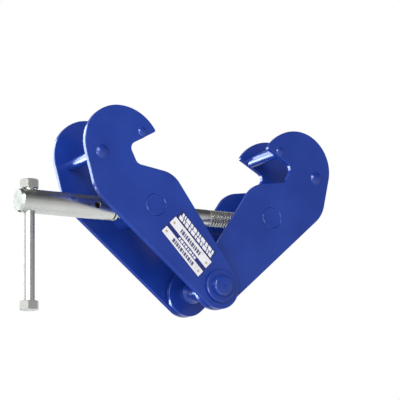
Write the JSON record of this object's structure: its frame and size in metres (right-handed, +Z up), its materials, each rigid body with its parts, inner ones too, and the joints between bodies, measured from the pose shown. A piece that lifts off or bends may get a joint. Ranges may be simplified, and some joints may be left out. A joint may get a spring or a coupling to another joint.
{
  "type": "beam clamp",
  "caption": "Adjustable beam clamp: two hooked jaws on a waisted suspension bar, drawn together over a beam flange by a left and right threaded spindle with a loose T-bar.",
  "frame": {"origin": "middle of the suspension bar, on its axis", "axes": "+Y along the suspension bar's axis towards the plain back of the clamp, +X along the spindle away from the T-bar, +Z up towards the beam"},
  "size_m": [0.3298, 0.0866, 0.19],
  "materials": {
    "jaw_paint": "gloss blue powder coat",
    "zinc": "bright zinc plate",
    "spring_steel": "dark oiled steel",
    "label": null
  },
  "bodies": {
    "suspension": {"suspension_bar": "jaw_paint", "end_washer_front": "jaw_paint", "end_washer_back": "jaw_paint", "shim_front": "zinc", "shim_back": "zinc"},
    "outer_jaw": {"outer_plate_front": "jaw_paint", "outer_plate_back": "jaw_paint", "outer_spacer_tube": "jaw_paint", "outer_spacer_rivet": "jaw_paint", "outer_tip_pin": "jaw_paint", "label_plate": "label"},
    "inner_jaw": {"inner_plate_front": "jaw_paint", "inner_plate_back": "jaw_paint", "inner_spacer_tube": "jaw_paint", "inner_spacer_rivet": "jaw_paint", "inner_tip_pin": "jaw_paint"},
    "outer_trunnion": {"outer_trunnion": "jaw_paint"},
    "inner_trunnion": {"inner_trunnion": "jaw_paint"},
    "thrust_washer": {"thrust_washer": "zinc"},
    "spindle": {"spindle": "zinc", "spindle_hub": "zinc", "hub_pin": "spring_steel", "stop_collar": "zinc", "stop_pin": "spring_steel"},
    "t_bar": {"t_bar": "zinc", "t_bar_nut_top": "zinc", "t_bar_nut_bottom": "zinc"}
  },
  "joints": [
    {"name": "outer_jaw_swing", "type": "hinge", "parent": "suspension", "child": "outer_jaw", "pos_m": [0, 0, 0], "axis": [0, 1, 0], "range_deg": [-9.29, 23.22]},
    {"name": "inner_jaw_swing", "type": "hinge", "parent": "suspension", "child": "inner_jaw", "pos_m": [0, 0, 0], "axis": [0, 1, 0], "range_deg": [-23.24, 9.3]},
    {"name": "outer_trunnion_swivel", "type": "hinge", "parent": "outer_jaw", "child": "outer_trunnion", "pos_m": [-0.067, 0, 0.072], "axis": [0, 1, 0], "range_deg": [-23.24, 9.3]},
    {"name": "inner_trunnion_swivel", "type": "hinge", "parent": "inner_jaw", "child": "inner_trunnion", "pos_m": [0.067, 0, 0.072], "axis": [0, 1, 0], "range_deg": [-9.3, 23.24]},
    {"name": "spindle_draw", "type": "slide", "parent": "outer_trunnion", "child": "thrust_washer", "axis": [1, 0, 0], "range_m": [-0.0301, 0.0121]},
    {"name": "spindle_spin", "type": "hinge", "parent": "thrust_washer", "child": "spindle", "pos_m": [0, 0, 0.072], "axis": [1, 0, 0], "range_deg": [-1440, 3600]},
    {"name": "t_bar_slide", "type": "slide", "parent": "spindle", "child": "t_bar", "axis": [0, 0, 1], "range_m": [0, 0.0795]}
  ],
  "couplings": [
    {"joint": "inner_jaw_swing", "follows": "outer_jaw_swing", "ratio": -1},
    {"joint": "outer_trunnion_swivel", "follows": "outer_jaw_swing", "ratio": -1},
    {"joint": "inner_trunnion_swivel", "follows": "outer_jaw_swing", "ratio": 1},
    {"joint": "spindle_draw", "follows": "outer_jaw_swing", "m_per_rad": -0.074},
    {"joint": "spindle_spin", "follows": "outer_jaw_swing", "ratio": 154.99}
  ]
}
